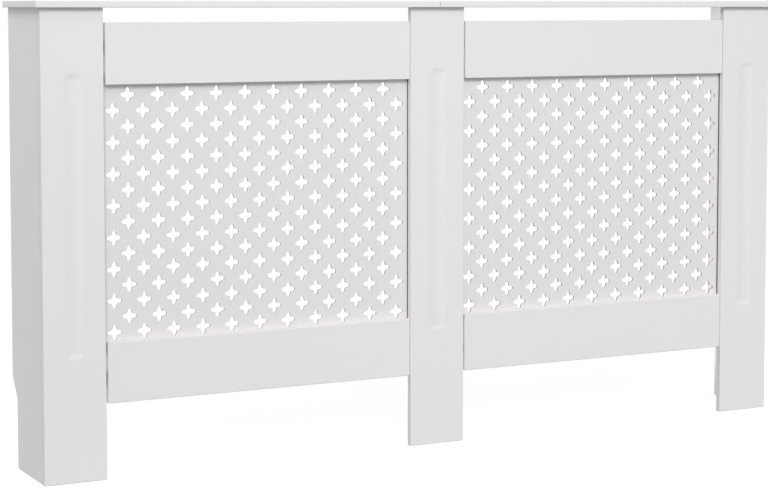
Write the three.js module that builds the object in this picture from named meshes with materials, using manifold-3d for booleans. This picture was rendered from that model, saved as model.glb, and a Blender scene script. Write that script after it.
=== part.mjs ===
// Radiator cover cabinet: painted board, two bays, a fretted grille in each.
// Millimetres. X runs to the right, Y to the back (the wall), Z up.
// The origin is on the floor, under the middle of the cabinet.

import * as THREE from "three";
import { mergeVertices } from "three/addons/utils/BufferGeometryUtils.js";
import Module from "manifold-3d";

const wasm = await Module();
wasm.setup();

// ---- driving dimensions ----

// whole cabinet
const overallWidth = 1520;
const overallDepth = 190;
const overallHeight = 815;

// top board, in two halves
const topThickness = 12;
const topFrontOverhang = 11;
const topSideOverhang = 10;
const topSeamGap = 0.8;

// legs and rails of the front
const legWidth = 110;
const legThickness = 12;
const railHeight = 105;
const railThickness = 12;
const railSetback = 3.5;
const railLeftGap = 4.7;
const railRightGap = 0.3;
const airSlotHeight = 25;
const floorGapHeight = 130;
const easedEdge = 1.2;

// routed groove down each leg
const grooveWidth = 28;
const grooveDepth = 1.2;
const grooveTopMargin = 110;
const grooveFloorMargin = 209;
const grooveSides = 72;

// side panels, cut away at the back for the skirting board
const sideThickness = 12;
const skirtingCutDepth = 27;
const skirtingCutHeight = 120;
const skirtingCurveHeight = 40;

// grille sheets with cross-shaped holes on a diagonal lattice
const grilleThickness = 3;
const grilleRailLap = 20;
const grilleLegLap = 12;
const crossPitch = 54.2;
const crossSpan = 26;
const crossTipWidth = 6;
const crossBaseWidth = 8.8;
const crossEdgeMargin = 14;
const crossFieldDrop = 1.7;

// battens in the two front corners
const battenSize = 18;
const battenEndGap = 60;

// stepped plates that tie the rails to the legs
const plateThickness = 2;
const railPlateHeight = 25;
const railPlateReach = 50;
const railPlateRunOut = 4;

// dowels across the seam of the top
const dowelDiameter = 6;
const dowelLength = 30;
const dowelEdgeMargin = 30;
const dowelClearance = 0.3;

// angles under the top, on the side panels and on the middle leg
const angleReach = 25;
const angleWidth = 20;
const sideAngleInset = 14;
const sideAngleSpacing = 45;
const middleAngleInset = 25;

// angles on the side panels, against the wall
const wallAngleReach = 40;
const wallAnglePanelReach = 30;
const wallAngleWidth = 25;
const wallAngleDrop = 78;
const wallHoleDiameter = 5;

// screws
const screwDiameter = 3.5;
const screwLength = 10;
const screwHeadDiameter = 7;
const screwHeadHeight = 2;
const screwClearance = 0.3;
const grilleScrewInset = 30;
const roundSides = 8;

// ---- worked out from them ----

const frontY = -overallDepth / 2 + topFrontOverhang;
const backY = overallDepth / 2;
const legHeight = overallHeight - topThickness;
const bodyWidth = overallWidth - 2 * topSideOverhang;
const bayWidth = (bodyWidth - 3 * legWidth) / 2;
const legBackY = frontY + legThickness;
const railFrontY = frontY + railSetback;
const railBackY = railFrontY + railThickness;
const grilleBackY = railBackY + grilleThickness;
const sideInnerX = bodyWidth / 2 - sideThickness;
const upperRailZ = legHeight - airSlotHeight - railHeight;
const lowerRailTopZ = floorGapHeight + railHeight;
const grilleTopZ = upperRailZ + grilleRailLap;
const grilleBottomZ = lowerRailTopZ - grilleRailLap;
const plateUnderZ = legHeight - plateThickness;

// ---- materials ----

const paint = new THREE.MeshStandardMaterial({ color: 0xe9e6e9, roughness: 0.5, metalness: 0 });
const grillePaint = new THREE.MeshStandardMaterial({ color: 0xdfdcdf, roughness: 0.6, metalness: 0 });
const wood = new THREE.MeshStandardMaterial({ color: 0xcfae80, roughness: 0.8, metalness: 0 });
const steel = new THREE.MeshStandardMaterial({ color: 0xb4b7ba, roughness: 0.35, metalness: 1 });

// ---- shapes ----

const axisX = new THREE.Vector3(1, 0, 0);
const axisY = new THREE.Vector3(0, 1, 0);
const axisZ = new THREE.Vector3(0, 0, 1);
const forward = axisY.clone().negate();

// a shape drawn as (x, z), with its depth running forward from the plane y = 0
const facingFront = new THREE.Matrix4().makeBasis(axisX, axisZ, forward);
// a shape drawn as (y, z), with its depth running along X from the plane x = 0
const facingSide = new THREE.Matrix4().makeBasis(axisY, axisZ, axisX);

function outline(points) {
  return new THREE.Shape(points.map(([a, b]) => new THREE.Vector2(a, b)));
}

function extrude(shape, depth) {
  return new THREE.ExtrudeGeometry(shape, { depth, bevelEnabled: false, curveSegments: 10 });
}

function boxBetween([x0, x1], [y0, y1], [z0, z1]) {
  const box = new THREE.BoxGeometry(x1 - x0, y1 - y0, z1 - z0);
  return box.translate((x0 + x1) / 2, (y0 + y1) / 2, (z0 + z1) / 2);
}

// a board that lies along X, with its two long front edges eased
function lyingBoard([x0, x1], [y0, y1], [z0, z1]) {
  const section = outline([
    [y0 + easedEdge, z0],
    [y1, z0],
    [y1, z1],
    [y0 + easedEdge, z1],
    [y0, z1 - easedEdge],
    [y0, z0 + easedEdge],
  ]);
  return extrude(section, x1 - x0).applyMatrix4(facingSide).translate(x0, 0, 0);
}

// a board that stands on the floor, with its two upright front edges eased
function standingBoard([x0, x1], [y0, y1], height) {
  const plan = outline([
    [x0 + easedEdge, y0],
    [x1 - easedEdge, y0],
    [x1, y0 + easedEdge],
    [x1, y1],
    [x0, y1],
    [x0, y0 + easedEdge],
  ]);
  return extrude(plan, height);
}

// a closed geometry as a solid that can be cut
function solid(geometry) {
  const bare = geometry.clone();
  bare.deleteAttribute("normal");
  bare.deleteAttribute("uv");
  const merged = mergeVertices(bare, 1e-4);
  const index = merged.getIndex().array;
  const corners = [];
  for (let i = 0; i < index.length; i += 3) {
    const [a, b, c] = index.slice(i, i + 3);
    if (a !== b && b !== c && c !== a) corners.push(a, b, c);
  }
  const mesh = new wasm.Mesh({
    numProp: 3,
    vertProperties: new Float32Array(merged.getAttribute("position").array),
    triVerts: new Uint32Array(corners),
  });
  return new wasm.Manifold(mesh);
}

function cut(geometry, tools) {
  const left = tools.reduce((body, tool) => body.subtract(solid(tool)), solid(geometry));
  const mesh = left.getMesh();
  const result = new THREE.BufferGeometry();
  result.setAttribute("position", new THREE.BufferAttribute(new Float32Array(mesh.vertProperties), 3));
  result.setIndex(new THREE.BufferAttribute(new Uint32Array(mesh.triVerts), 1));
  return result;
}

// ---- the assembly ----

const group = new THREE.Group();
const sides = [
  { name: "left", sign: -1 },
  { name: "right", sign: 1 },
];

function add(name, geometry, material) {
  const mesh = new THREE.Mesh(geometry, material);
  mesh.name = name;
  group.add(mesh);
}

// ---- screws: each has its head on "seat" and its shank along "inward" ----

const screws = [];

function screw(name, seat, inward, holds) {
  screws.push({ name, seat: new THREE.Vector3(...seat), inward, holds });
}

function placed(geometry, { seat, inward }) {
  const turn = new THREE.Quaternion().setFromUnitVectors(axisY, inward);
  return geometry.applyQuaternion(turn).translate(seat.x, seat.y, seat.z);
}

function screwBody(place) {
  const shank = screwDiameter / 2;
  const head = screwHeadDiameter / 2;
  const profile = [
    [0, -screwHeadHeight],
    [head / 2, -screwHeadHeight],
    [head, 0],
    [shank, 0],
    [shank, screwLength - shank],
    [0, screwLength],
  ];
  const points = profile.map(([radius, along]) => new THREE.Vector2(radius, along));
  return placed(new THREE.LatheGeometry(points, roundSides), place);
}

// a hole round a shank, a little deeper than its tip
function screwHole(place) {
  const radius = screwDiameter / 2 + screwClearance;
  const length = screwLength + 2 * screwClearance;
  const hole = new THREE.CylinderGeometry(radius, radius, length, roundSides);
  return placed(hole.translate(0, length / 2 - screwClearance, 0), place);
}

function holesFor(piece) {
  return screws.filter(({ holds }) => holds.includes(piece)).map(screwHole);
}

// ---- angles under the top ----

// an angle drawn as (away from its upright, z), the corner at the origin and its top at z = 0
function bentAngle() {
  const section = outline([
    [0, 0],
    [0, -angleReach],
    [plateThickness, -angleReach],
    [plateThickness, -plateThickness],
    [angleReach, -plateThickness],
    [angleReach, 0],
  ]);
  return extrude(section, angleWidth);
}

const angleMiddle = (angleReach + plateThickness) / 2;

// on the inner face of a side panel
function sideAngle(sign, y) {
  const bent = bentAngle().applyMatrix4(facingFront);
  if (sign > 0) bent.rotateZ(Math.PI);
  return bent.translate(sign * sideInnerX, y + (-sign * angleWidth) / 2, legHeight);
}

for (const { name, sign } of sides) {
  const frontRowY = legBackY + battenSize + sideAngleInset;
  for (const [row, y] of [["front", frontRowY], ["rear", frontRowY + sideAngleSpacing]]) {
    const angle = `${name}_side_angle_${row}`;
    const up = [sign * (sideInnerX - angleMiddle), y, plateUnderZ];
    const across = [sign * (sideInnerX - plateThickness), y, legHeight - angleMiddle];
    const outward = axisX.clone().multiplyScalar(sign);
    screw(`${angle}_top_screw`, up, axisZ, [angle, `top_board_${name}`]);
    screw(`${angle}_panel_screw`, across, outward, [angle, `side_panel_${name}`]);
    add(angle, cut(sideAngle(sign, y), holesFor(angle)), steel);
  }
}

// on the back of the middle leg, one under each half of the top
for (const { name, sign } of sides) {
  const angle = `middle_leg_angle_${name}`;
  const x = sign * (legWidth / 2 - middleAngleInset);
  screw(`${angle}_top_screw`, [x, legBackY + angleMiddle, plateUnderZ], axisZ, [angle, `top_board_${name}`]);
  const across = [x, legBackY + plateThickness, legHeight - angleMiddle];
  screw(`${angle}_leg_screw`, across, forward, [angle, "leg_board_middle"]);
  const bent = bentAngle().applyMatrix4(facingSide).translate(x - angleWidth / 2, legBackY, legHeight);
  add(angle, cut(bent, holesFor(angle)), steel);
}

// on the side panels at the back, each with a hole for a wall screw
function wallAnglePlan(sign) {
  const points = [
    [0, 0],
    [wallAngleReach, 0],
    [wallAngleReach, -plateThickness],
    [plateThickness, -plateThickness],
    [plateThickness, -wallAnglePanelReach],
    [0, -wallAnglePanelReach],
  ];
  return points.map(([inward, y]) => [sign * (sideInnerX - inward), backY + y]);
}

for (const { name, sign } of sides) {
  const angle = `wall_angle_${name}`;
  const z = legHeight - wallAngleDrop;
  const y = backY - (wallAnglePanelReach + plateThickness) / 2;
  const outward = axisX.clone().multiplyScalar(sign);
  const seat = [sign * (sideInnerX - plateThickness), y, z];
  screw(`${angle}_panel_screw`, seat, outward, [angle, `side_panel_${name}`]);
  const bent = extrude(outline(wallAnglePlan(sign)), wallAngleWidth).translate(0, 0, z - wallAngleWidth / 2);
  const holeRadius = wallHoleDiameter / 2;
  const wallHole = new THREE.CylinderGeometry(holeRadius, holeRadius, 3 * plateThickness, 2 * roundSides);
  wallHole.translate(sign * (sideInnerX - (wallAngleReach + plateThickness) / 2), backY, z);
  add(angle, cut(bent, [...holesFor(angle), wallHole]), steel);
}

// ---- dowels across the seam ----

const dowelSpacing = overallDepth / 2 - dowelEdgeMargin;
const dowels = [
  ["front", -dowelSpacing],
  ["middle", 0],
  ["rear", dowelSpacing],
];

function dowelRod(y, radius, length) {
  const rod = new THREE.CylinderGeometry(radius, radius, length, 2 * roundSides).rotateZ(Math.PI / 2);
  return rod.translate(0, y, legHeight + topThickness / 2);
}

for (const [row, y] of dowels) {
  add(`dowel_${row}`, dowelRod(y, dowelDiameter / 2, dowelLength), wood);
}
const dowelHoles = dowels.map(([, y]) =>
  dowelRod(y, dowelDiameter / 2 + dowelClearance, dowelLength + 2 * dowelClearance)
);

// ---- grille sheets ----

// the four arms of a cross, going round its middle, narrower at their tips
function crossHole(x, z) {
  const tip = crossTipWidth / 2;
  const base = crossBaseWidth / 2;
  const span = crossSpan / 2;
  const arm = [
    [base, base],
    [tip, span],
    [-tip, span],
  ];
  const points = [0, 1, 2, 3].flatMap((quarter) =>
    arm.map(([a, b]) => new THREE.Vector2(a, b).rotateAround(new THREE.Vector2(), (quarter * Math.PI) / 2))
  );
  return new THREE.Path(points.map((point) => point.add(new THREE.Vector2(x, z))));
}

// as many half pitches as fit between two margins
function stepsIn(length) {
  return Math.floor((length - 2 * crossEdgeMargin) / (crossPitch / 2));
}

// every second place of the lattice, so that the crosses stand in diagonal rows
function latticePlaces(centreX, centreZ, width, height) {
  const step = crossPitch / 2;
  const columns = stepsIn(width);
  const rows = stepsIn(height);
  const places = [];
  for (let column = 0; column <= columns; column += 1) {
    for (let row = 0; row <= rows; row += 1) {
      const x = centreX + (column - columns / 2) * step;
      const z = centreZ + (rows / 2 - row) * step;
      if ((column + row) % 2 === 1) places.push([x, z]);
    }
  }
  return places;
}

for (const { name, sign } of sides) {
  const grille = `grille_${name}`;
  const centre = (sign * (bayWidth + legWidth)) / 2;
  const halfWidth = bayWidth / 2 + grilleLegLap;
  const sheet = outline([
    [centre - halfWidth, grilleBottomZ],
    [centre + halfWidth, grilleBottomZ],
    [centre + halfWidth, grilleTopZ],
    [centre - halfWidth, grilleTopZ],
  ]);
  const seenHeight = upperRailZ - lowerRailTopZ;
  const fieldZ = (upperRailZ + lowerRailTopZ) / 2 - crossFieldDrop;
  const places = latticePlaces(centre, fieldZ, bayWidth, seenHeight);
  sheet.holes = places.map(([x, z]) => crossHole(x, z));
  for (const [row, z] of [["top", upperRailZ + grilleRailLap / 2], ["bottom", lowerRailTopZ - grilleRailLap / 2]]) {
    for (const corner of sides) {
      const x = centre + corner.sign * (bayWidth / 2 - grilleScrewInset);
      const rail = row === "top" ? `rail_upper_${name}` : `rail_lower_${name}`;
      screw(`${grille}_screw_${row}_${corner.name}`, [x, grilleBackY, z], forward, [grille, rail]);
    }
  }
  const fretted = extrude(sheet, grilleThickness).applyMatrix4(facingFront).translate(0, grilleBackY, 0);
  add(grille, cut(fretted, holesFor(grille)), grillePaint);
}

// ---- rails ----

const railRows = [
  ["upper", upperRailZ],
  ["lower", floorGapHeight],
];
for (const { name, sign } of sides) {
  const centre = (sign * (bayWidth + legWidth)) / 2;
  const spanX = [centre - bayWidth / 2 + railLeftGap, centre + bayWidth / 2 - railRightGap];
  for (const [row, z] of railRows) {
    const rail = `rail_${row}_${name}`;
    const board = lyingBoard(spanX, [railFrontY, railBackY], [z, z + railHeight]);
    add(rail, cut(board, holesFor(rail)), paint);
  }
}

// ---- stepped plates behind the rails' ends ----

// half of a plate in plan, from the middle of the leg out over the end of the rail
function steppedHalf(legReach) {
  const step = railBackY - legBackY;
  const ramp = [
    [legReach - railPlateRunOut, 0],
    [legReach, step],
    [legReach + railPlateReach, step],
  ];
  return { ramp, back: ramp.map(([x, y]) => [x, y + plateThickness]).reverse() };
}

// over both edges of the middle leg
function middlePlatePlan() {
  const { ramp, back } = steppedHalf(legWidth / 2);
  const mirrored = (points) => points.map(([x, y]) => [-x, y]).reverse();
  return [...mirrored(ramp), ...ramp, ...back, ...mirrored(back)];
}

// over the inner edge of an outer leg
function outerPlatePlan(sign) {
  const { ramp, back } = steppedHalf(0);
  const points = [[-railPlateReach, 0], ...ramp, ...back, [-railPlateReach, plateThickness]];
  return points.map(([x, y]) => [-sign * x, y]);
}

const platePlans = [
  ["left", outerPlatePlan(-1), -(bodyWidth / 2 - legWidth)],
  ["middle", middlePlatePlan(), 0],
  ["right", outerPlatePlan(1), bodyWidth / 2 - legWidth],
];
const plateRows = [
  ["upper", (grilleTopZ + upperRailZ + railHeight) / 2],
  ["lower", (grilleBottomZ + floorGapHeight) / 2],
];
for (const [where, plan, x] of platePlans) {
  for (const [row, z] of plateRows) {
    const plate = extrude(outline(plan), railPlateHeight);
    plate.translate(x, legBackY, z - railPlateHeight / 2);
    add(`rail_plate_${row}_${where}`, plate, steel);
  }
}

// ---- legs, each with a groove ----

// a long round-ended rod that dips into the leg's front by the groove's depth
function grooveCutter(x) {
  const radius = ((grooveWidth / 2) ** 2 + grooveDepth ** 2) / (2 * grooveDepth);
  const tipReach = grooveWidth / 2;
  const low = grooveFloorMargin + tipReach;
  const high = legHeight - grooveTopMargin - tipReach;
  const points = [new THREE.Vector2(0, low - radius)];
  const endSteps = grooveSides / 4;
  for (let i = 1; i <= endSteps; i += 1) {
    const turn = (i / endSteps) * (Math.PI / 2);
    points.push(new THREE.Vector2(radius * Math.sin(turn), low - radius * Math.cos(turn)));
  }
  for (let i = endSteps; i >= 1; i -= 1) {
    const turn = (i / endSteps) * (Math.PI / 2);
    points.push(new THREE.Vector2(radius * Math.sin(turn), high + radius * Math.cos(turn)));
  }
  points.push(new THREE.Vector2(0, high + radius));
  const rod = new THREE.LatheGeometry(points, grooveSides).rotateX(Math.PI / 2);
  return rod.translate(x, frontY + grooveDepth - radius, 0);
}

for (const [where, place] of [["left", -1], ["middle", 0], ["right", 1]]) {
  const leg = `leg_board_${where}`;
  const x = place * (bayWidth + legWidth);
  const board = standingBoard([x - legWidth / 2, x + legWidth / 2], [frontY, legBackY], legHeight);
  add(leg, cut(board, [grooveCutter(x), ...holesFor(leg)]), paint);
}

// ---- side panels and corner battens ----

for (const { name, sign } of sides) {
  const side = new THREE.Shape();
  side.moveTo(legBackY, 0);
  side.lineTo(backY - skirtingCutDepth, 0);
  side.lineTo(backY - skirtingCutDepth, skirtingCutHeight);
  const bendY = backY - 0.9 * skirtingCutDepth;
  const bendZ = skirtingCutHeight + 0.2 * skirtingCurveHeight;
  side.quadraticCurveTo(bendY, bendZ, backY, skirtingCutHeight + skirtingCurveHeight);
  side.lineTo(backY, legHeight);
  side.lineTo(legBackY, legHeight);
  const panel = `side_panel_${name}`;
  const board = extrude(side, sideThickness).applyMatrix4(facingSide);
  board.translate(sign > 0 ? sideInnerX : -sideInnerX - sideThickness, 0, 0);
  add(panel, cut(board, holesFor(panel)), paint);

  const spanX = [sign * sideInnerX, sign * (sideInnerX - battenSize)].sort((a, b) => a - b);
  const spanZ = [battenEndGap, legHeight - battenEndGap];
  add(`corner_batten_${name}`, boxBetween(spanX, [legBackY, legBackY + battenSize], spanZ), wood);
}

// ---- top board ----

for (const { name, sign } of sides) {
  const top = `top_board_${name}`;
  const spanX = [(sign * topSeamGap) / 2, (sign * overallWidth) / 2].sort((a, b) => a - b);
  const board = lyingBoard(spanX, [-overallDepth / 2, backY], [legHeight, overallHeight]);
  add(top, cut(board, [...dowelHoles, ...holesFor(top)]), paint);
}

// ---- the screws themselves ----

for (const place of screws) {
  add(place.name, screwBody(place), steel);
}

export default group;
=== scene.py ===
import math

import bmesh
import bpy
import numpy as np
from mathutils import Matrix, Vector


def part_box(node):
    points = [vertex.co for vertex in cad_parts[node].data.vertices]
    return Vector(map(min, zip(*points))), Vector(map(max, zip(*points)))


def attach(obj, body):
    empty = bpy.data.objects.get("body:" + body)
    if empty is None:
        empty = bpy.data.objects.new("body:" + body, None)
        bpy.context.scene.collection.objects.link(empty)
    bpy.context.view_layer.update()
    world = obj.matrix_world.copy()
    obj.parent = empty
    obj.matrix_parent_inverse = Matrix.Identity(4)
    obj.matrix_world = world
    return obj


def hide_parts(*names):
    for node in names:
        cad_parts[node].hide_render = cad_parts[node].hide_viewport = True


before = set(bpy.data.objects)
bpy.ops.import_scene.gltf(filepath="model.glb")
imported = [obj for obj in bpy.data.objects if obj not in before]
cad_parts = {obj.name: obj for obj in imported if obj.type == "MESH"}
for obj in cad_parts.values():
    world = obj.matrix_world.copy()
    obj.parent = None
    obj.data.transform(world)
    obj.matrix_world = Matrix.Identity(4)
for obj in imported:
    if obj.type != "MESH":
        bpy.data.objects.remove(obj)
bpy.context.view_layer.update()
scene = bpy.context.scene
scene.view_settings.view_transform = "Standard"
print("frame loaded:", len(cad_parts), "nodes")

# Radiator cover cabinet in sprayed white board. All sizes below are millimetres.
# X runs to the right, Y to the wall, Z up, and the floor is at Z 0.


# camera: fitted to the photo's edges and to the crosses of its grilles

camera = {
    "place": (-1794.0, -3364.6, 808.7),  # in front and to the left, level with the top board
    "turn": 27.17,  # degrees, to the right of straight ahead
    "dip": 4.0,  # degrees below level
    "lens": 96.07,  # on a 36 mm sensor
    "shift": -0.1269,  # of the picture's width, keeps the whole cabinet in the picture
}

cameraData = bpy.data.cameras.new("camera")
cameraData.sensor_width = 36.0
cameraData.lens = camera["lens"]
cameraData.shift_y = camera["shift"]
cameraObject = bpy.data.objects.new("camera", cameraData)
cameraObject.location = Vector(camera["place"]) / 1000
cameraObject.rotation_euler = (math.radians(90 - camera["dip"]), 0.0, math.radians(-camera["turn"]))
scene.collection.objects.link(cameraObject)
scene.camera = cameraObject


# materials: colours are sRGB hex, and patterns have real sizes and read Object coordinates


def linear(colour):
    # sRGB hex to the linear values that sockets take
    channels = np.array([int(colour[i : i + 2], 16) for i in (1, 3, 5)]) / 255
    values = np.where(channels <= 0.04045, channels / 12.92, ((channels + 0.055) / 1.055) ** 2.4)
    return (*(float(value) for value in values), 1.0)


def addNode(tree, kind, settings=None, links=None):
    # settings go to the node's own properties or to its sockets, links to its sockets
    node = tree.nodes.new(kind)
    for name, value in (settings or {}).items():
        if isinstance(name, str) and hasattr(node, name):
            setattr(node, name, value)
        else:
            node.inputs[name].default_value = value
    for name, source in (links or {}).items():
        tree.links.new(source, node.inputs[name])
    return node


def newMaterial(name):
    # an empty material and its tree
    material = bpy.data.materials.new(name)
    material.use_nodes = True
    material.node_tree.nodes.clear()
    return material, material.node_tree


def perMetre(millimetres):
    # noise scale whose features are about this size
    return 1000.0 / millimetres


def mottled(tree, place, colours, size, detail):
    # two colours blended by a noise, and the noise itself for what else follows it
    noise = addNode(tree, "ShaderNodeTexNoise", {"Scale": perMetre(size), "Detail": detail},
                    {"Vector": place})
    blend = {"data_type": "RGBA", 6: linear(colours[0]), 7: linear(colours[1])}
    mix = addNode(tree, "ShaderNodeMix", blend, {0: noise.outputs["Fac"]})
    return mix.outputs[2], noise.outputs["Fac"]


def relief(tree, place, size, depth, detail, strength):
    # small bumps from a noise, size and depth in millimetres
    noise = addNode(tree, "ShaderNodeTexNoise", {"Scale": perMetre(size), "Detail": detail},
                    {"Vector": place})
    bump = addNode(tree, "ShaderNodeBump", {"Strength": strength, "Distance": depth / 1000},
                   {"Height": noise.outputs["Fac"]})
    return bump.outputs[0]


def surfaced(material, settings, links):
    # the material, with its surface joined to its output
    tree = material.node_tree
    surface = addNode(tree, "ShaderNodeBsdfPrincipled", settings, links)
    addNode(tree, "ShaderNodeOutputMaterial", {}, {"Surface": surface.outputs[0]})
    return material


# studio: key and fill lights, a long soft strip above, one inside each end, even surroundings, pale floor

studio = {
    "keyFrom": (-0.33, -0.82, 0.485),  # where the key light comes from: front, a little left, above
    "keyStrength": 1.7,
    "keySize": 22.0,  # degrees across
    "fillFrom": (0.45, 0.75, 0.6),  # behind and to the right, reaches neither the front nor the left side
    "fillStrength": 0.5,
    "fillSize": 80.0,
    "stripPlace": (-520.0, -650.0, 1480.0),  # a long soft strip near the top, so that the feet are darker
    "stripAim": (0.0, -80.0, 400.0),
    "stripSize": (4980.0, 220.0),
    "stripPower": 7.4,  # watts
    "insidePlace": (642.0, 58.0, 415.0),  # a soft strip inside each end, so that the panels look pale there
    "insideSize": (60.0, 770.0),
    "insidePower": 0.31,
    "surroundings": 0.473,  # strength of the even light from all round
    "floorColour": "#A9A9A9",
    "floorSize": 60000.0,
    "floorDrop": 0.5,  # keeps the floor just clear of the feet
    "floorShown": 0.36,  # what the camera sees of the floor's light and shade
    "floorLift": 0.78,  # and the white that it sees added
}


def addLamp(name, kind, settings, comesFrom, place=(0.0, 0.0, 0.0)):
    # a lamp turned so that its light comes from this direction, unseen itself
    data = bpy.data.lights.new(name, kind)
    for setting, value in settings.items():
        setattr(data, setting, value)
    lamp = bpy.data.objects.new(name, data)
    lamp.rotation_euler = Vector(comesFrom).to_track_quat("Z", "Y").to_euler()
    lamp.location = Vector(place) / 1000
    lamp.visible_camera = False
    scene.collection.objects.link(lamp)


def stripSettings(name):
    # a strip lamp's power and its two sides
    across, up = studio[f"{name}Size"]
    return {"energy": studio[f"{name}Power"], "shape": "RECTANGLE",
            "size": across / 1000, "size_y": up / 1000}


def seenDirectly(tree):
    # 1 for the camera and for what is mirrored or seen through, 0 for light on the object
    path = addNode(tree, "ShaderNodeLightPath")
    mirrored = addNode(tree, "ShaderNodeMath", {"operation": "MAXIMUM"},
                       {0: path.outputs["Is Glossy Ray"], 1: path.outputs["Is Transmission Ray"]})
    both = addNode(tree, "ShaderNodeMath", {"operation": "MAXIMUM"},
                   {0: path.outputs["Is Camera Ray"], 1: mirrored.outputs[0]})
    return both.outputs[0]


def buildStudio():
    # the lamps, the surroundings and the floor
    for name in ("key", "fill"):
        settings = {"energy": studio[f"{name}Strength"], "angle": math.radians(studio[f"{name}Size"])}
        addLamp(f"{name}Light", "SUN", settings, studio[f"{name}From"])
    comesFrom = Vector(studio["stripPlace"]) - Vector(studio["stripAim"])
    addLamp("stripLight", "AREA", stripSettings("strip"), comesFrom, studio["stripPlace"])
    x, y, z = studio["insidePlace"]
    for side, sign in (("Left", -1), ("Right", 1)):
        addLamp(f"insideLight{side}", "AREA", stripSettings("inside"), (-sign, 0, 0), (sign * x, y, z))

    world = bpy.data.worlds.new("studio")
    scene.world = world
    world.use_nodes = True
    tree = world.node_tree
    tree.nodes.clear()
    lit = addNode(tree, "ShaderNodeBackground", {"Color": (1, 1, 1, 1), "Strength": studio["surroundings"]})
    white = addNode(tree, "ShaderNodeBackground", {"Color": (1, 1, 1, 1), "Strength": 1.0})
    mix = addNode(tree, "ShaderNodeMixShader", {},
                  {0: seenDirectly(tree), 1: lit.outputs[0], 2: white.outputs[0]})
    addNode(tree, "ShaderNodeOutputWorld", {}, {"Surface": mix.outputs[0]})

    # pale floor: a plain diffuse sheet, lifted to white where the camera sees it
    material, tree = newMaterial("paleFloor")
    plain = addNode(tree, "ShaderNodeBsdfDiffuse", {"Color": linear(studio["floorColour"])})
    shown = addNode(tree, "ShaderNodeBsdfDiffuse", {"Color": (studio["floorShown"],) * 3 + (1,)})
    lift = addNode(tree, "ShaderNodeEmission", {"Color": (1, 1, 1, 1), "Strength": studio["floorLift"]})
    seen = addNode(tree, "ShaderNodeAddShader", {}, {0: shown.outputs[0], 1: lift.outputs[0]})
    mix = addNode(tree, "ShaderNodeMixShader", {},
                  {0: seenDirectly(tree), 1: plain.outputs[0], 2: seen.outputs[0]})
    addNode(tree, "ShaderNodeOutputMaterial", {}, {"Surface": mix.outputs[0]})

    half, level = studio["floorSize"] / 2000, -studio["floorDrop"] / 1000
    corners = [(x * half, y * half, level) for x, y in ((-1, -1), (1, -1), (1, 1), (-1, 1))]
    mesh = bpy.data.meshes.new("floor")
    mesh.from_pydata(corners, [], [(0, 1, 2, 3)])
    mesh.materials.append(material)
    floor = bpy.data.objects.new("floor", mesh)
    scene.collection.objects.link(floor)


buildStudio()
print("studio ready")


# finishes, one function each: sprayed board, hardboard in three states (rolled face, cut edge greyed partly
# as painted shade, painted shade behind the legs), pine, zinc-plated steel


def sprayedBoard():
    # MDF sprayed with satin white lacquer: even and closed, a soft sheen, the faintest orange peel
    look = {
        "colours": ("#EAE7EA", "#E8E5E8"),
        "shadeSize": 260.0,
        "roughness": (0.42, 0.52),
        "sheenSize": 45.0,
        "peelSize": 2.6,
        "peelDepth": 0.008,
    }
    material, tree = newMaterial("satinSprayedBoard")
    place = addNode(tree, "ShaderNodeTexCoord").outputs["Object"]
    tone, _ = mottled(tree, place, look["colours"], look["shadeSize"], detail=2.0)
    patch = addNode(tree, "ShaderNodeTexNoise", {"Scale": perMetre(look["sheenSize"]), "Detail": 3.0},
                    {"Vector": place})
    least, most = look["roughness"]
    rough = addNode(tree, "ShaderNodeMapRange", {"To Min": least, "To Max": most},
                    {"Value": patch.outputs["Fac"]})
    peel = relief(tree, place, look["peelSize"], look["peelDepth"], detail=1.0, strength=0.5)
    return surfaced(material, {"IOR": 1.5},
                    {"Base Color": tone, "Roughness": rough.outputs[0], "Normal": peel})


def rolledSheet():
    # 3 mm hardboard with roller-coated white paint: flatter and a touch greyer, faintly mottled
    look = {
        "colours": ("#E7E4E7", "#E0DDE0"),
        "mottleSize": 9.0,
        "roughness": 0.6,
        "stippleSize": 1.4,
        "stippleDepth": 0.03,
    }
    material, tree = newMaterial("rollerCoatedHardboard")
    place = addNode(tree, "ShaderNodeTexCoord").outputs["Object"]
    tone, _ = mottled(tree, place, look["colours"], look["mottleSize"], detail=4.0)
    stipple = relief(tree, place, look["stippleSize"], look["stippleDepth"], detail=2.0, strength=0.6)
    return surfaced(material, {"IOR": 1.5, "Roughness": look["roughness"]},
                    {"Base Color": tone, "Normal": stipple})


def sawnEdgeAndShade():
    # the cut edge of hardboard inside the crosses, which the paint only dusts: rough and fibrous, greyer
    # partly for the bare fibre and partly as painted shade inside the holes
    look = {
        "colours": ("#BEB9BB", "#9C9597"),  # dusted and bare, both darkened partly as painted shade
        "patchSize": 3.0,
        "roughness": 0.85,
        "fibreSize": 0.5,
        "fibreDepth": 0.08,
    }
    material, tree = newMaterial("sawnHardboardEdge")
    place = addNode(tree, "ShaderNodeTexCoord").outputs["Object"]
    tone, _ = mottled(tree, place, look["colours"], look["patchSize"], detail=3.0)
    fibre = relief(tree, place, look["fibreSize"], look["fibreDepth"], detail=2.0, strength=0.6)
    return surfaced(material, {"Roughness": look["roughness"]}, {"Base Color": tone, "Normal": fibre})


def paintedShadeBehindLegs():
    # painted shade: the sheet's front behind the legs, coloured dark to stand in for the shadow in the slit
    # beside each leg; a little burnished
    look = {
        "colours": ("#6B6668", "#575355"),
        "fleckSize": 1.6,
        "roughness": 0.6,
    }
    material, tree = newMaterial("unpaintedHardboard")
    place = addNode(tree, "ShaderNodeTexCoord").outputs["Object"]
    tone, _ = mottled(tree, place, look["colours"], look["fleckSize"], detail=3.0)
    return surfaced(material, {"Roughness": look["roughness"]}, {"Base Color": tone})


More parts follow.
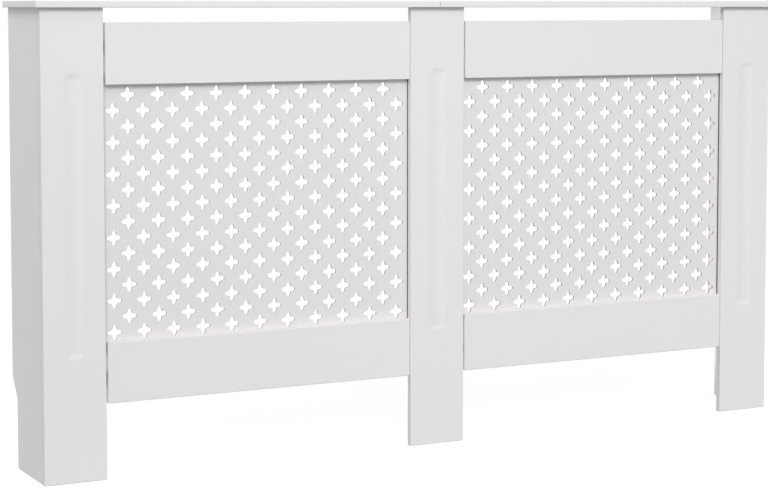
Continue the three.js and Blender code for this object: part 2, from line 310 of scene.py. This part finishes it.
def planedPine():
    # bare planed pine: pale straw with slightly darker growth lines along the stick
    look = {
        "early": "#E9D4AC",
        "late": "#D3B27F",
        "ringSpacing": 14.0,  # drawn coarse, so that the lines show on a narrow stick
        "drawnOut": 0.06,  # heights are shrunk to this share, so the grain runs along Z
        "wander": 1.2,
        "roughness": (0.6, 0.8),
        "fibreSize": 0.4,
        "fibreDepth": 0.05,
    }
    material, tree = newMaterial("planedPine")
    place = addNode(tree, "ShaderNodeTexCoord").outputs["Object"]
    grain = addNode(tree, "ShaderNodeMapping", {"Scale": (1.0, 1.0, look["drawnOut"])},
                    {"Vector": place}).outputs[0]
    # diagonal bands of scale 1 lie 2 pi / (10 root 2) of a metre apart
    bandScale = perMetre(look["ringSpacing"]) * math.pi / (5 * math.sqrt(2))
    rings = addNode(tree, "ShaderNodeTexWave",
                    {"bands_direction": "DIAGONAL", "Scale": bandScale,
                     "Distortion": look["wander"], "Detail": 3.0, "Detail Scale": 2.0},
                    {"Vector": grain})
    blend = {"data_type": "RGBA", 6: linear(look["early"]), 7: linear(look["late"])}
    tone = addNode(tree, "ShaderNodeMix", blend, {0: rings.outputs["Fac"]})
    least, most = look["roughness"]
    rough = addNode(tree, "ShaderNodeMapRange", {"To Min": least, "To Max": most},
                    {"Value": rings.outputs["Fac"]})
    fibre = relief(tree, grain, look["fibreSize"], look["fibreDepth"], detail=2.0, strength=0.5)
    return surfaced(material, {},
                    {"Base Color": tone.outputs[2], "Roughness": rough.outputs[0], "Normal": fibre})


def zincSteel():
    # pressed steel, bright zinc plated: silvery, slightly cloudy, with fine rolling marks
    look = {
        "colours": ("#C9CCCF", "#A9ADB2"),
        "cloudSize": 6.0,
        "roughness": (0.24, 0.42),
        "markSize": 0.5,
        "markDepth": 0.01,
    }
    material, tree = newMaterial("zincPlatedSteel")
    place = addNode(tree, "ShaderNodeTexCoord").outputs["Object"]
    tone, cloud = mottled(tree, place, look["colours"], look["cloudSize"], detail=4.0)
    least, most = look["roughness"]
    rough = addNode(tree, "ShaderNodeMapRange", {"To Min": least, "To Max": most}, {"Value": cloud})
    marks = relief(tree, place, look["markSize"], look["markDepth"], detail=1.0, strength=0.4)
    return surfaced(material, {"Metallic": 1.0},
                    {"Base Color": tone, "Roughness": rough.outputs[0], "Normal": marks})


finishes = {
    "painted_board": sprayedBoard(),
    "grille_sheet": rolledSheet(),
    "bare_wood": planedPine(),
    "zinc_plated_steel": zincSteel(),
}
print("finishes ready")


# shapes shared by the pieces: outlines with rounded corners, carried along and eased at their ends

joinDistance = 2e-6  # metres, closer points are one


def boxOf(node):
    # lowest and highest corner of a CAD node, in millimetres
    return [np.array(corner) * 1000 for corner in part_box(node)]


def camel(name):
    # a node's name in the way that this script names things
    first, *others = name.split("_")
    return first + "".join(word.capitalize() for word in others)


def closedMesh(name, points, faces):
    # points in millimetres; near points are joined, faces turned outwards
    mesh = bpy.data.meshes.new(name)
    mesh.from_pydata(points / 1000, [], faces)
    work = bmesh.new()
    work.from_mesh(mesh)
    bmesh.ops.remove_doubles(work, verts=work.verts, dist=joinDistance)
    bmesh.ops.recalc_face_normals(work, faces=work.faces)
    work.to_mesh(mesh)
    work.free()
    return mesh


def makePiece(name, points, faces, slot, node=None, sharpAngle=40.0):
    # a finished piece, smooth except at edges that turn by more than the angle
    mesh = closedMesh(name, points, faces)
    mesh.shade_smooth()
    mesh.set_sharp_from_angle(angle=math.radians(sharpAngle))
    mesh.materials.append(finishes[slot])
    piece = bpy.data.objects.new(name, mesh)
    scene.collection.objects.link(piece)
    even = piece.modifiers.new("flatFacesStayFlat", "WEIGHTED_NORMAL")
    even.weight = 100  # the largest faces lead
    even.keep_sharp = True
    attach(piece, "root")
    if node:
        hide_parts(node)
    return piece


def rounded(corners, radii, steps=3):
    # each corner becomes an exact arc, a quadratic curve whose middle weighs the cosine of half its turn
    corners = np.asarray(corners, float)
    radii = np.broadcast_to(np.asarray(radii, float), len(corners))
    back = np.roll(corners, 1, axis=0) - corners
    onward = np.roll(corners, -1, axis=0) - corners
    back /= np.linalg.norm(back, axis=1, keepdims=True)
    onward /= np.linalg.norm(onward, axis=1, keepdims=True)
    halfInside = np.arccos(np.clip((back * onward).sum(axis=1), -1, 1)) / 2
    tangent = (radii / np.tan(halfInside))[:, None]
    weight = np.sin(halfInside)[:, None, None]
    s = np.linspace(0, 1, steps + 1)[None, :, None]
    first, middle, last = (1 - s) ** 2, 2 * weight * s * (1 - s), s**2
    start, end = (corners + back * tangent)[:, None], (corners + onward * tangent)[:, None]
    arcs = (first * start + middle * corners[:, None] + last * end) / (first + middle + last)
    return arcs.reshape(-1, 2)


def inset(outline, amounts):
    # the outline moved inwards along its mitred normals, once for each amount
    span = np.roll(outline, -1, axis=0) - outline
    outline = outline[np.linalg.norm(span, axis=1) > 1e-6]  # drops points that repeat
    span = np.roll(outline, -1, axis=0) - outline
    span /= np.linalg.norm(span, axis=1, keepdims=True)
    area = (outline[:, 0] * np.roll(outline[:, 1], -1) - np.roll(outline[:, 0], -1) * outline[:, 1]).sum()
    out = np.stack([span[:, 1], -span[:, 0]], axis=1) * np.sign(area)
    before = np.roll(out, 1, axis=0)
    mitre = (out + before) / (1 + (out * before).sum(axis=1, keepdims=True))
    return outline[None] - np.asarray(amounts)[:, None, None] * mitre[None]


def skin(rings, startCap=True):
    # quads between neighbouring closed rings, with the last ring, and mostly the first, capped
    count, around = rings.shape[:2]
    ring, step = np.meshgrid(np.arange(count - 1), np.arange(around), indexing="ij")
    here, beside = ring * around + step, ring * around + (step + 1) % around
    faces = np.stack([here, beside, beside + around, here + around], axis=-1).reshape(-1, 4).tolist()
    faces.append(list(range((count - 1) * around, count * around)))
    if startCap:
        faces.append(list(range(around))[::-1])
    return rings.reshape(-1, 3), faces


def carried(outline, axis, start, end, easing, steps=3):
    # an outline carried straight along an axis; at both ends its arris is a quarter circle of radius "easing"
    turn = np.linspace(0, math.pi / 2, steps + 1)
    inwards, along = easing * (1 - np.sin(turn)), easing * (1 - np.cos(turn))
    flat = inset(outline, np.concatenate([inwards, inwards[::-1]]))
    place = np.concatenate([start + along, end - along[::-1]])
    rings = np.empty((*flat.shape[:2], 3))
    others = [i for i in range(3) if i != axis]
    rings[..., others] = flat
    rings[..., axis] = place[:, None]
    return skin(rings)


def rectangle(low, high):
    # its four corners, one after the other
    return np.array([(low[0], low[1]), (high[0], low[1]), (high[0], high[1]), (low[0], high[1])])


def board(node, axis, easing, slot):
    # a straight board between a node's corners, all its edges eased alike
    low, high = boxOf(node)
    others = [i for i in range(3) if i != axis]
    section = rounded(rectangle(low[others], high[others]), easing)
    points, faces = carried(section, axis, low[axis], high[axis], easing)
    return makePiece(camel(node), points, faces, slot, node)


# top board, rails and battens

boards = {
    "topEasing": 1.5,
    "railEasing": 1.3,
    "battenEasing": 0.8,
}

for side in ("left", "right"):
    board(f"top_board_{side}", 0, boards["topEasing"], "painted_board")
    board(f"rail_upper_{side}", 0, boards["railEasing"], "painted_board")
    board(f"rail_lower_{side}", 0, boards["railEasing"], "painted_board")
    board(f"corner_batten_{side}", 2, boards["battenEasing"], "bare_wood")
print("top, rails and battens ready")


# fluted dowels inside the top's seam, of the battens' bare wood

dowel = {
    "flutes": 12,
    "fluteDepth": 0.2,
    "easing": 0.8,
    "around": 96,
}

for row in ("front", "middle", "rear"):
    # a circle whose radius dips at each flute: r = R - depth * (1 - cos(flutes * turn)) / 2
    node = f"dowel_{row}"
    low, high = boxOf(node)
    turn = np.arange(dowel["around"]) / dowel["around"] * 2 * math.pi
    radius = (high[2] - low[2]) / 2 - dowel["fluteDepth"] * (1 - np.cos(dowel["flutes"] * turn)) / 2
    ring = (low[1:] + high[1:]) / 2 + radius[:, None] * np.stack([np.cos(turn), np.sin(turn)], 1)
    points, faces = carried(ring, 0, low[0], high[0], dowel["easing"])
    makePiece(camel(node), points, faces, "bare_wood", node)
print("dowels ready")


# legs, each with one shallow routed groove

leg = {
    "easing": 1.2,
    "backEasing": 0.4,
    "grooveWidth": 40.0,  # the solid's groove and the soft run-out beside it
    "grooveDepth": 1.7,
    "grooveFoot": 209.0,  # from the floor to the groove's lower tip
    "grooveHead": 108.5,  # from the groove's upper tip to the leg's top
    "grooveBlunt": 0.62,  # the tips are half ellipses, this share of a half circle
    "hollowSteps": 16,
    "hollowMargin": 3.0,  # a flat ring round the hollow
    "fanSteps": 10,
    "sideSteps": 8,
    "arrisSteps": 4,
    "backArrisSteps": 2,
}


def grooveDepthAt(distance):
    # a soft hollow that runs out into the face: depth * (1 - (d / R)²)²
    share = np.clip(distance / (leg["grooveWidth"] / 2), 0, 1)
    return leg["grooveDepth"] * (1 - share**2) ** 2


def fanOver(corner):
    # half a turn of directions, two of them at the angles of a board's corners
    steps = leg["fanSteps"]
    return np.concatenate([np.linspace(0, corner, steps, endpoint=False),
                           np.linspace(corner, math.pi - corner, steps, endpoint=False),
                           np.linspace(math.pi - corner, math.pi, steps)])


def legRings(low, high):
    # rings round the groove's middle line: through the hollow, over the face, round the arris, to the back.
    # Each ring has one point for each direction, and the fans round the tips hit the board's corners.
    half, height, thickness = (high[0] - low[0]) / 2, high[2] - low[2], high[1] - low[1]
    nose, blunt = leg["grooveWidth"] / 2, leg["grooveBlunt"]
    foot, head = leg["grooveFoot"] + blunt * nose, height - leg["grooveHead"] - blunt * nose
    headFan = fanOver(math.atan2(height - head, half))
    footFan = math.pi + fanOver(math.atan2(foot, half))
    down = np.linspace(head, foot, leg["sideSteps"] + 2)[1:-1]
    angle = np.concatenate([headFan, np.full(len(down), math.pi), footFan, np.zeros(len(down))])
    middle = np.concatenate([np.full(len(headFan), head), down, np.full(len(footFan), foot), down[::-1]])
    across, up = np.cos(angle), np.sin(angle)
    room = np.where(up >= 0, height - middle, middle)
    tiny = 1e-9  # instead of zero, which can't divide
    reach = np.minimum(half / np.maximum(np.abs(across), tiny), room / np.maximum(np.abs(up), tiny))

    distance = np.append(np.linspace(0, nose, leg["hollowSteps"]), nose + leg["hollowMargin"])[:, None]
    depth = np.broadcast_to(grooveDepthAt(distance), (len(distance), len(angle)))
    hollow = np.stack([distance * across, depth, middle + blunt * distance * up], axis=-1)

    turn = np.linspace(0, math.pi / 2, leg["arrisSteps"] + 1)
    backTurn = np.linspace(0, math.pi / 2, leg["backArrisSteps"] + 1)
    inwards = np.concatenate([leg["easing"] * (1 - np.sin(turn)), leg["backEasing"] * (1 - np.cos(backTurn))])
    deep = np.concatenate([leg["easing"] * (1 - np.cos(turn)),
                           thickness - leg["backEasing"] * (1 - np.sin(backTurn))])
    edgeX, edgeZ = reach * across, middle + reach * up
    rim = np.stack([np.clip(edgeX, -half + inwards[:, None], half - inwards[:, None]),
                    np.broadcast_to(deep[:, None], (len(deep), len(angle))),
                    np.clip(edgeZ, inwards[:, None], height - inwards[:, None])], axis=-1)
    return np.concatenate([hollow, rim]) + np.array([(low[0] + high[0]) / 2, low[1], low[2]])


for where in ("left", "middle", "right"):
    node = f"leg_board_{where}"
    points, faces = skin(legRings(*boxOf(node)), startCap=False)
    makePiece(camel(node), points, faces, "painted_board", node)
print("legs ready")


# side panels

sidePanel = {
    "easing": 1.0,
    "frontEasing": 0.5,  # where a panel meets its leg, at the foot and the top
    "cutDepth": 27.0,  # cut away over the skirting board
    "cutHeight": 120.0,
    "curveHeight": 40.0,
    "curvePull": (0.9, 0.2),  # the curve's control point, as shares of the cut's depth and the curve's height
    "curveSteps": 14,
}


def sidePanelOutline(low, high):
    # (y, z): straight up the cut, then a quadratic curve back to the wall edge
    cutY, bendZ = high[1] - sidePanel["cutDepth"], sidePanel["cutHeight"]
    pullY = high[1] - sidePanel["curvePull"][0] * sidePanel["cutDepth"]
    pullZ = bendZ + sidePanel["curvePull"][1] * sidePanel["curveHeight"]
    s = np.linspace(0, 1, sidePanel["curveSteps"] + 1)[:, None]
    start, pull = np.array((cutY, bendZ)), np.array((pullY, pullZ))
    end = np.array((high[1], bendZ + sidePanel["curveHeight"]))
    curve = (1 - s) ** 2 * start + 2 * s * (1 - s) * pull + s**2 * end
    corners = [(low[1], 0.0), (cutY, 0.0), *curve, (high[1], high[2]), (low[1], high[2])]
    front, back = sidePanel["frontEasing"], sidePanel["easing"]
    return rounded(corners, [front, back, *[0.0] * len(curve), back, front])


for side in ("left", "right"):
    node = f"side_panel_{side}"
    low, high = boxOf(node)
    points, faces = carried(sidePanelOutline(low, high), 0, low[0], high[0], sidePanel["easing"])
    makePiece(camel(node), points, faces, "painted_board", node)
print("side panels ready")


# grille sheets

grille = {
    "step": 27.1,  # half the pitch of the crosses
    "columns": 21,
    "rows": 16,
    "middleZ": 452.3,  # height of the middle of the pierced field
    "legLap": 12.0,  # margin behind each leg
    "span": 26.0,  # tip to tip
    "armWidth": 8.6,  # where the arms meet
    "tipWidth": 7.4,
    "tipStart": 8.0,  # from the middle, where the round end begins
    "fillet": 1.1,
    "tipSteps": 6,
}


def turnedFourTimes(quarter):
    # a quarter of an outline, then the same after one, two and three right angles
    x, z = quarter.T
    return np.concatenate([np.stack(pair, 1) for pair in ((x, z), (-z, x), (-x, -z), (z, -x))])


def crossOutline():
    # each quarter runs from diagonal to diagonal: a fillet, a straight flank, half an ellipse, and back
    arm, tip, fillet = grille["armWidth"] / 2, grille["tipWidth"] / 2, grille["fillet"]
    corner = arm + fillet * (1 - math.sqrt(0.5))
    turn = np.linspace(0, math.pi, grille["tipSteps"] + 1)
    bow = grille["span"] / 2 - grille["tipStart"]
    end = np.stack([tip * np.cos(turn), grille["tipStart"] + bow * np.sin(turn)], 1)
    quarter = np.concatenate([[(corner, corner), (arm, arm + fillet)], end, [(-arm, arm + fillet)]])
    return turnedFourTimes(quarter)


def cellOutline(pointsInQuarter):
    # a square whose sides have as many even steps as the cross has points in a quarter
    half = grille["step"] / 2
    x = half * (1 - 2 * np.arange(pointsInQuarter) / pointsInQuarter)
    return turnedFourTimes(np.stack([x, np.full(pointsInQuarter, half)], 1))


def grilleSurface(low, high):
    # a grid of square cells, every second one pierced; all cells have the same points on their edges,
    # so that neighbours join up
    hole = crossOutline()
    around = len(hole)
    cell = cellOutline(around // 4)
    column, row = np.meshgrid(np.arange(grille["columns"]), np.arange(grille["rows"]), indexing="ij")
    middleX = (low[0] + high[0]) / 2
    x = middleX + (column - (grille["columns"] - 1) / 2) * grille["step"]
    z = grille["middleZ"] + ((grille["rows"] - 1) / 2 - row) * grille["step"]
    pierced = (column + row) % 2 == 1

    def placed(outline, centres, y):
        flat = centres[:, None, :] + outline[None]
        return np.stack([flat[..., 0], np.full(flat.shape[:2], y), flat[..., 1]], axis=-1)

    # each pierced cell has four rings: its edge and its cross on the front, then the same on the back
    crossed, plain = (np.stack([x[choice], z[choice]], 1) for choice in (pierced, ~pierced))
    rings = np.stack([placed(cell, crossed, low[1]), placed(hole, crossed, low[1]),
                      placed(hole, crossed, high[1]), placed(cell, crossed, high[1])], axis=1)
    ringCount = rings.shape[1]
    start = np.arange(len(crossed))[:, None, None] * ringCount * around
    ring, step = np.arange(ringCount - 1)[None, :, None] * around, np.arange(around)[None, None, :]
    here, beside = start + ring + step, start + ring + (step + 1) % around
    faces = np.stack([here, beside, beside + around, here + around], axis=-1).reshape(-1, 4).tolist()
    points = [rings.reshape(-1, 3)]
    count = rings.size // 3

    blanks = np.concatenate([placed(cell, plain, low[1]), placed(cell, plain, high[1])])
    faces += (count + np.arange(blanks.shape[0] * around).reshape(-1, around)).tolist()
    points.append(blanks.reshape(-1, 3))
    count += blanks.size // 3

    # the plain border: a face on each side of the field and a margin behind each leg, then the sheet's edges
    quarter = around // 4
    halfX, halfZ = grille["columns"] * grille["step"] / 2, grille["rows"] * grille["step"] / 2
    fieldX = middleX + np.linspace(halfX, -halfX, grille["columns"] * quarter + 1)
    fieldZ = grille["middleZ"] + np.linspace(halfZ, -halfZ, grille["rows"] * quarter + 1)
    top, bottom = grille["middleZ"] + halfZ, grille["middleZ"] - halfZ
    right, left = middleX + halfX, middleX - halfX
    marginLeft, marginRight = low[0] + grille["legLap"], high[0] - grille["legLap"]
    for y in (low[1], high[1]):
        borders = [
            [(marginRight, high[2]), *((a, top) for a in fieldX), (marginLeft, high[2])],
            [(marginLeft, low[2]), *((a, bottom) for a in fieldX[::-1]), (marginRight, low[2])],
            [(marginRight, low[2]), *((right, b) for b in fieldZ[::-1]), (marginRight, high[2])],
            [(marginLeft, high[2]), *((left, b) for b in fieldZ), (marginLeft, low[2])],
            rectangle((low[0], low[2]), (marginLeft, high[2])),
            rectangle((marginRight, low[2]), (high[0], high[2])),
        ]
        for border in borders:
            points.append(np.array([(a, y, b) for a, b in border]))
            faces.append(list(range(count, count + len(border))))
            count += len(border)
    edgeX = np.array([low[0], marginLeft, marginRight, high[0]])
    corners = np.array([*((a, low[2]) for a in edgeX), *((a, high[2]) for a in edgeX[::-1])])
    total = len(corners)
    points += [np.stack([corners[:, 0], np.full(total, y), corners[:, 1]], 1) for y in (low[1], high[1])]
    here, beside = count + np.arange(total), count + (np.arange(total) + 1) % total
    faces += np.stack([here, beside, beside + total, here + total], axis=-1).tolist()
    return np.concatenate(points), faces


# the cut edges' finish is partly painted shade, the margins' finish is painted shade
cutEdgeAndShade, marginShade = sawnEdgeAndShade(), paintedShadeBehindLegs()

for side in ("left", "right"):
    node = f"grille_{side}"
    points, faces = grilleSurface(*boxOf(node))
    piece = makePiece(camel(node), points, faces, "grille_sheet", node)
    piece.data.materials.append(cutEdgeAndShade)
    piece.data.materials.append(marginShade)
    # 1 for the faces that look neither forward nor back, the cut edges, darkened partly as painted shade; 2
    # for the front's margins behind the legs, dark as painted shade of the slit there
    polygons = piece.data.polygons
    normals, centres = np.empty(3 * len(polygons)), np.empty(3 * len(polygons))
    polygons.foreach_get("normal", normals)
    polygons.foreach_get("center", centres)
    low, high = boxOf(node)
    forward, x = -normals[1::3], centres[0::3] * 1000
    isCutEdgeAndShade = np.abs(forward) < 0.5
    isPaintedShade = (forward > 0.5) & (np.minimum(x - low[0], high[0] - x) < grille["legLap"])
    polygons.foreach_set("material_index", np.where(isPaintedShade, 2, isCutEdgeAndShade).astype(np.int32))
print("grilles ready")


# pressed steel plates and angles

steel = {
    "thickness": 2.0,
    "bend": 1.2,  # inside radius
    "bendSteps": 5,
    "edge": 0.35,
    "edgeSteps": 2,
    "wallHole": 5.0,
    "wallHoleSides": 24,
    "rodReach": 5.0,  # of the rod that cuts the hole, either way from the middle of the steel
    "rodEasing": 0.2,
    "plateReach": 50.0,  # of a stepped plate, from the ramp's end over the rail, and as far over an outer leg
    "plateRunOut": 4.0,  # length of the ramp
}


def bentStrip(node, section, radii, axis):
    # a bent section carried across the strip's width
    low, high = boxOf(node)
    outline = rounded(section, radii, steel["bendSteps"])
    points, faces = carried(outline, axis, low[axis], high[axis], steel["edge"], steel["edgeSteps"])
    return makePiece(camel(node), points, faces, "zinc_plated_steel", node)


def angleSection(away, upright):
    # corner at (0, 0), one leaf along +a under the top board, the other down against its upright
    t = steel["thickness"]
    section = [(0, 0), (0, -upright), (t, -upright), (t, -t), (away, -t), (away, 0)]
    edge, bend = steel["edge"], steel["bend"]
    return np.array(section), [bend + t, edge, edge, bend, edge, edge]


def addAngle(node, axis, corner, towards):
    # the leaf under the top runs from its corner "towards" + or -
    low, high = boxOf(node)
    away = high[1 - axis] - low[1 - axis]
    section, radii = angleSection(away, high[2] - low[2])
    section[:, 0] = corner + towards * section[:, 0]
    section[:, 1] += high[2]
    return bentStrip(node, section, radii, axis)


def drill(piece, centre, axis, diameter):
    # a round hole through a plate, cut by a rod that is then thrown away
    turn = np.arange(steel["wallHoleSides"]) / steel["wallHoleSides"] * 2 * math.pi
    others = [i for i in range(3) if i != axis]
    ring = np.array(centre)[others] + diameter / 2 * np.stack([np.cos(turn), np.sin(turn)], 1)
    start, end = centre[axis] - steel["rodReach"], centre[axis] + steel["rodReach"]
    points, faces = carried(ring, axis, start, end, steel["rodEasing"], steps=1)
    rod = bpy.data.objects.new("rod", closedMesh("rod", points, faces))
    scene.collection.objects.link(rod)
    cut = piece.modifiers.new("hole", "BOOLEAN")
    cut.object, cut.solver = rod, "EXACT"
    piece.modifiers.move(len(piece.modifiers) - 1, 0)
    bpy.context.view_layer.update()
    graph = bpy.context.evaluated_depsgraph_get()
    drilled = bpy.data.meshes.new_from_object(piece.evaluated_get(graph))
    piece.modifiers.remove(piece.modifiers["hole"])
    piece.data = drilled
    bpy.data.objects.remove(rod)


def wallAngle(node, sign):
    # in plan: one leaf forward along the side panel, the other inwards along the wall, with a screw hole
    low, high = boxOf(node)
    section, radii = angleSection(high[0] - low[0], high[1] - low[1])
    section = (high[0] if sign > 0 else low[0], high[1]) + section * (-sign, 1)
    angle = bentStrip(node, section, radii, 2)
    middle = (low + high) / 2
    holeX = middle[0] - sign * steel["thickness"] / 2
    drill(angle, (holeX, high[1] - steel["thickness"] / 2, middle[2]), 1, steel["wallHole"])


for side, sign in (("left", -1), ("right", 1)):
    for row in ("front", "rear"):
        node = f"{side}_side_angle_{row}"
        low, high = boxOf(node)
        addAngle(node, 1, high[0] if sign > 0 else low[0], -sign)
    node = f"middle_leg_angle_{side}"
    addAngle(node, 0, boxOf(node)[0][1], 1)
    wallAngle(f"wall_angle_{side}", sign)


def steppedSection(low, high, where):
    # plan of a stepped plate: flat on the leg, up a short ramp to the leg's edge, flat on the rail
    t, rise = steel["thickness"], high[1] - low[1] - steel["thickness"]
    ramp = np.array([(-steel["plateRunOut"], 0.0), (0.0, rise), (steel["plateReach"], rise)])
    if where == "middle":
        ramp[:, 0] += high[0] - ramp[-1, 0]
        front = np.concatenate([ramp[::-1] * (-1, 1), ramp])
    else:
        front = np.concatenate([[(-steel["plateReach"], 0.0)], ramp])
        front[:, 0] += (high[0] - low[0]) / 2 - front[-1, 0]
        if where == "right":
            front = front[::-1] * (-1, 1)
        front[:, 0] += (low[0] + high[0]) / 2
    front[:, 1] += low[1]
    section = np.concatenate([front, front[::-1] + (0, t)])
    radii = np.full(len(section), steel["bend"])
    radii[[0, len(front) - 1, len(front), -1]] = steel["edge"]
    return section, radii


for where in ("left", "middle", "right"):
    for row in ("upper", "lower"):
        node = f"rail_plate_{row}_{where}"
        bentStrip(node, *steppedSection(*boxOf(node), where), 2)
print("plates and angles ready")


# screws

screw = {
    "headDiameter": 7.0,
    "headHeight": 2.0,
    "headRings": (0, 0.08, 0.16, 0.24, 0.33, 0.42, 0.5, 0.56, 0.62, 0.74, 0.86, 0.95, 1.0),
    "shank": 3.5,
    "length": 10.0,
    "tip": 0.05,  # radius
    "slotWidth": 0.95,
    "slotReach": 2.0,
    "slotDepth": 1.1,
    "slotSteepness": (6, 12),  # of its sides and of its ends
    "around": 40,
}


def screwSurface(seat, inward):
    # polar rings: a domed head h = height * (1 - (r/R)^3), less a cross recess, then the shank to its point;
    # the recess is depth / ((1 + (d / half width)^6) (1 + (r / reach)^12)), d being the lesser of |x| and |z|
    radius, height, shank = screw["headDiameter"] / 2, screw["headHeight"], screw["shank"] / 2
    r = radius * np.array(screw["headRings"])[:, None]
    turn = np.arange(screw["around"]) / screw["around"] * 2 * math.pi
    x, z = r * np.cos(turn), r * np.sin(turn)
    dome = height * (1 - (r / radius) ** 3)
    sideSteepness, endSteepness = screw["slotSteepness"]
    slot = 1 / (1 + (np.minimum(np.abs(x), np.abs(z)) / (screw["slotWidth"] / 2)) ** sideSteepness)
    ends = 1 / (1 + (r / screw["slotReach"]) ** endSteepness)
    head = np.stack([x, -(dome - screw["slotDepth"] * slot * ends), z], axis=-1)
    along = np.array([(shank, 0.0), (shank, screw["length"] - shank), (screw["tip"], screw["length"])])
    body = np.stack([along[:, :1] * np.cos(turn), np.broadcast_to(along[:, 1:], (len(along), len(turn))),
                     along[:, :1] * np.sin(turn)], axis=-1)
    points, faces = skin(np.concatenate([head, body]), startCap=False)
    turned = np.array(Vector((0, 1, 0)).rotation_difference(Vector(inward)).to_matrix())
    return points @ turned.T + seat, faces


def addScrew(name, seat, inward, node=None):
    # its head's underside is at the seat, its shank points inward
    points, faces = screwSurface(np.asarray(seat, float), inward)
    makePiece(name, points, faces, "zinc_plated_steel", node, sharpAngle=50.0)


def screwWay(node):
    # the way that a screw is driven
    if node.startswith("grille") or node.endswith("leg_screw"):
        return (0, -1, 0)
    if node.endswith("panel_screw"):
        return (-1, 0, 0) if "left" in node else (1, 0, 0)
    return (0, 0, 1)


for node in sorted(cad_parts):
    if "screw" in node:
        low, high = boxOf(node)
        way = np.array(screwWay(node))
        headEnd = np.where(way > 0, low, np.where(way < 0, high, (low + high) / 2))
        addScrew(camel(node), headEnd + way * screw["headHeight"], tuple(way), node)


# four small screws on each stepped plate: on the leg and on the rail, or at both ends and on the leg

plateScrew = {
    "outerSpots": (12.0, 38.0),  # from either end of an outer plate
    "middleSpot": 25.0,  # from the ends of a middle plate, and from its middle
}

for where in ("left", "middle", "right"):
    for row in ("upper", "lower"):
        low, high = boxOf(f"rail_plate_{row}_{where}")
        onLeg, onRail = low[1] + steel["thickness"], high[1]
        z = (low[2] + high[2]) / 2
        if where == "middle":
            away = plateScrew["middleSpot"]
            spots = [(low[0] + away, onRail), (-away, onLeg), (away, onLeg), (high[0] - away, onRail)]
        else:
            near, far = plateScrew["outerSpots"]
            across = (low[0] + near, low[0] + far, high[0] - far, high[0] - near)
            levels = (onLeg, onLeg, onRail, onRail) if where == "left" else (onRail, onRail, onLeg, onLeg)
            spots = zip(across, levels)
        for i, (x, y) in enumerate(spots):
            addScrew(camel(f"rail_plate_{row}_{where}_screw_{i + 1}"), (x, y, z), (0, -1, 0))
print("screws ready")
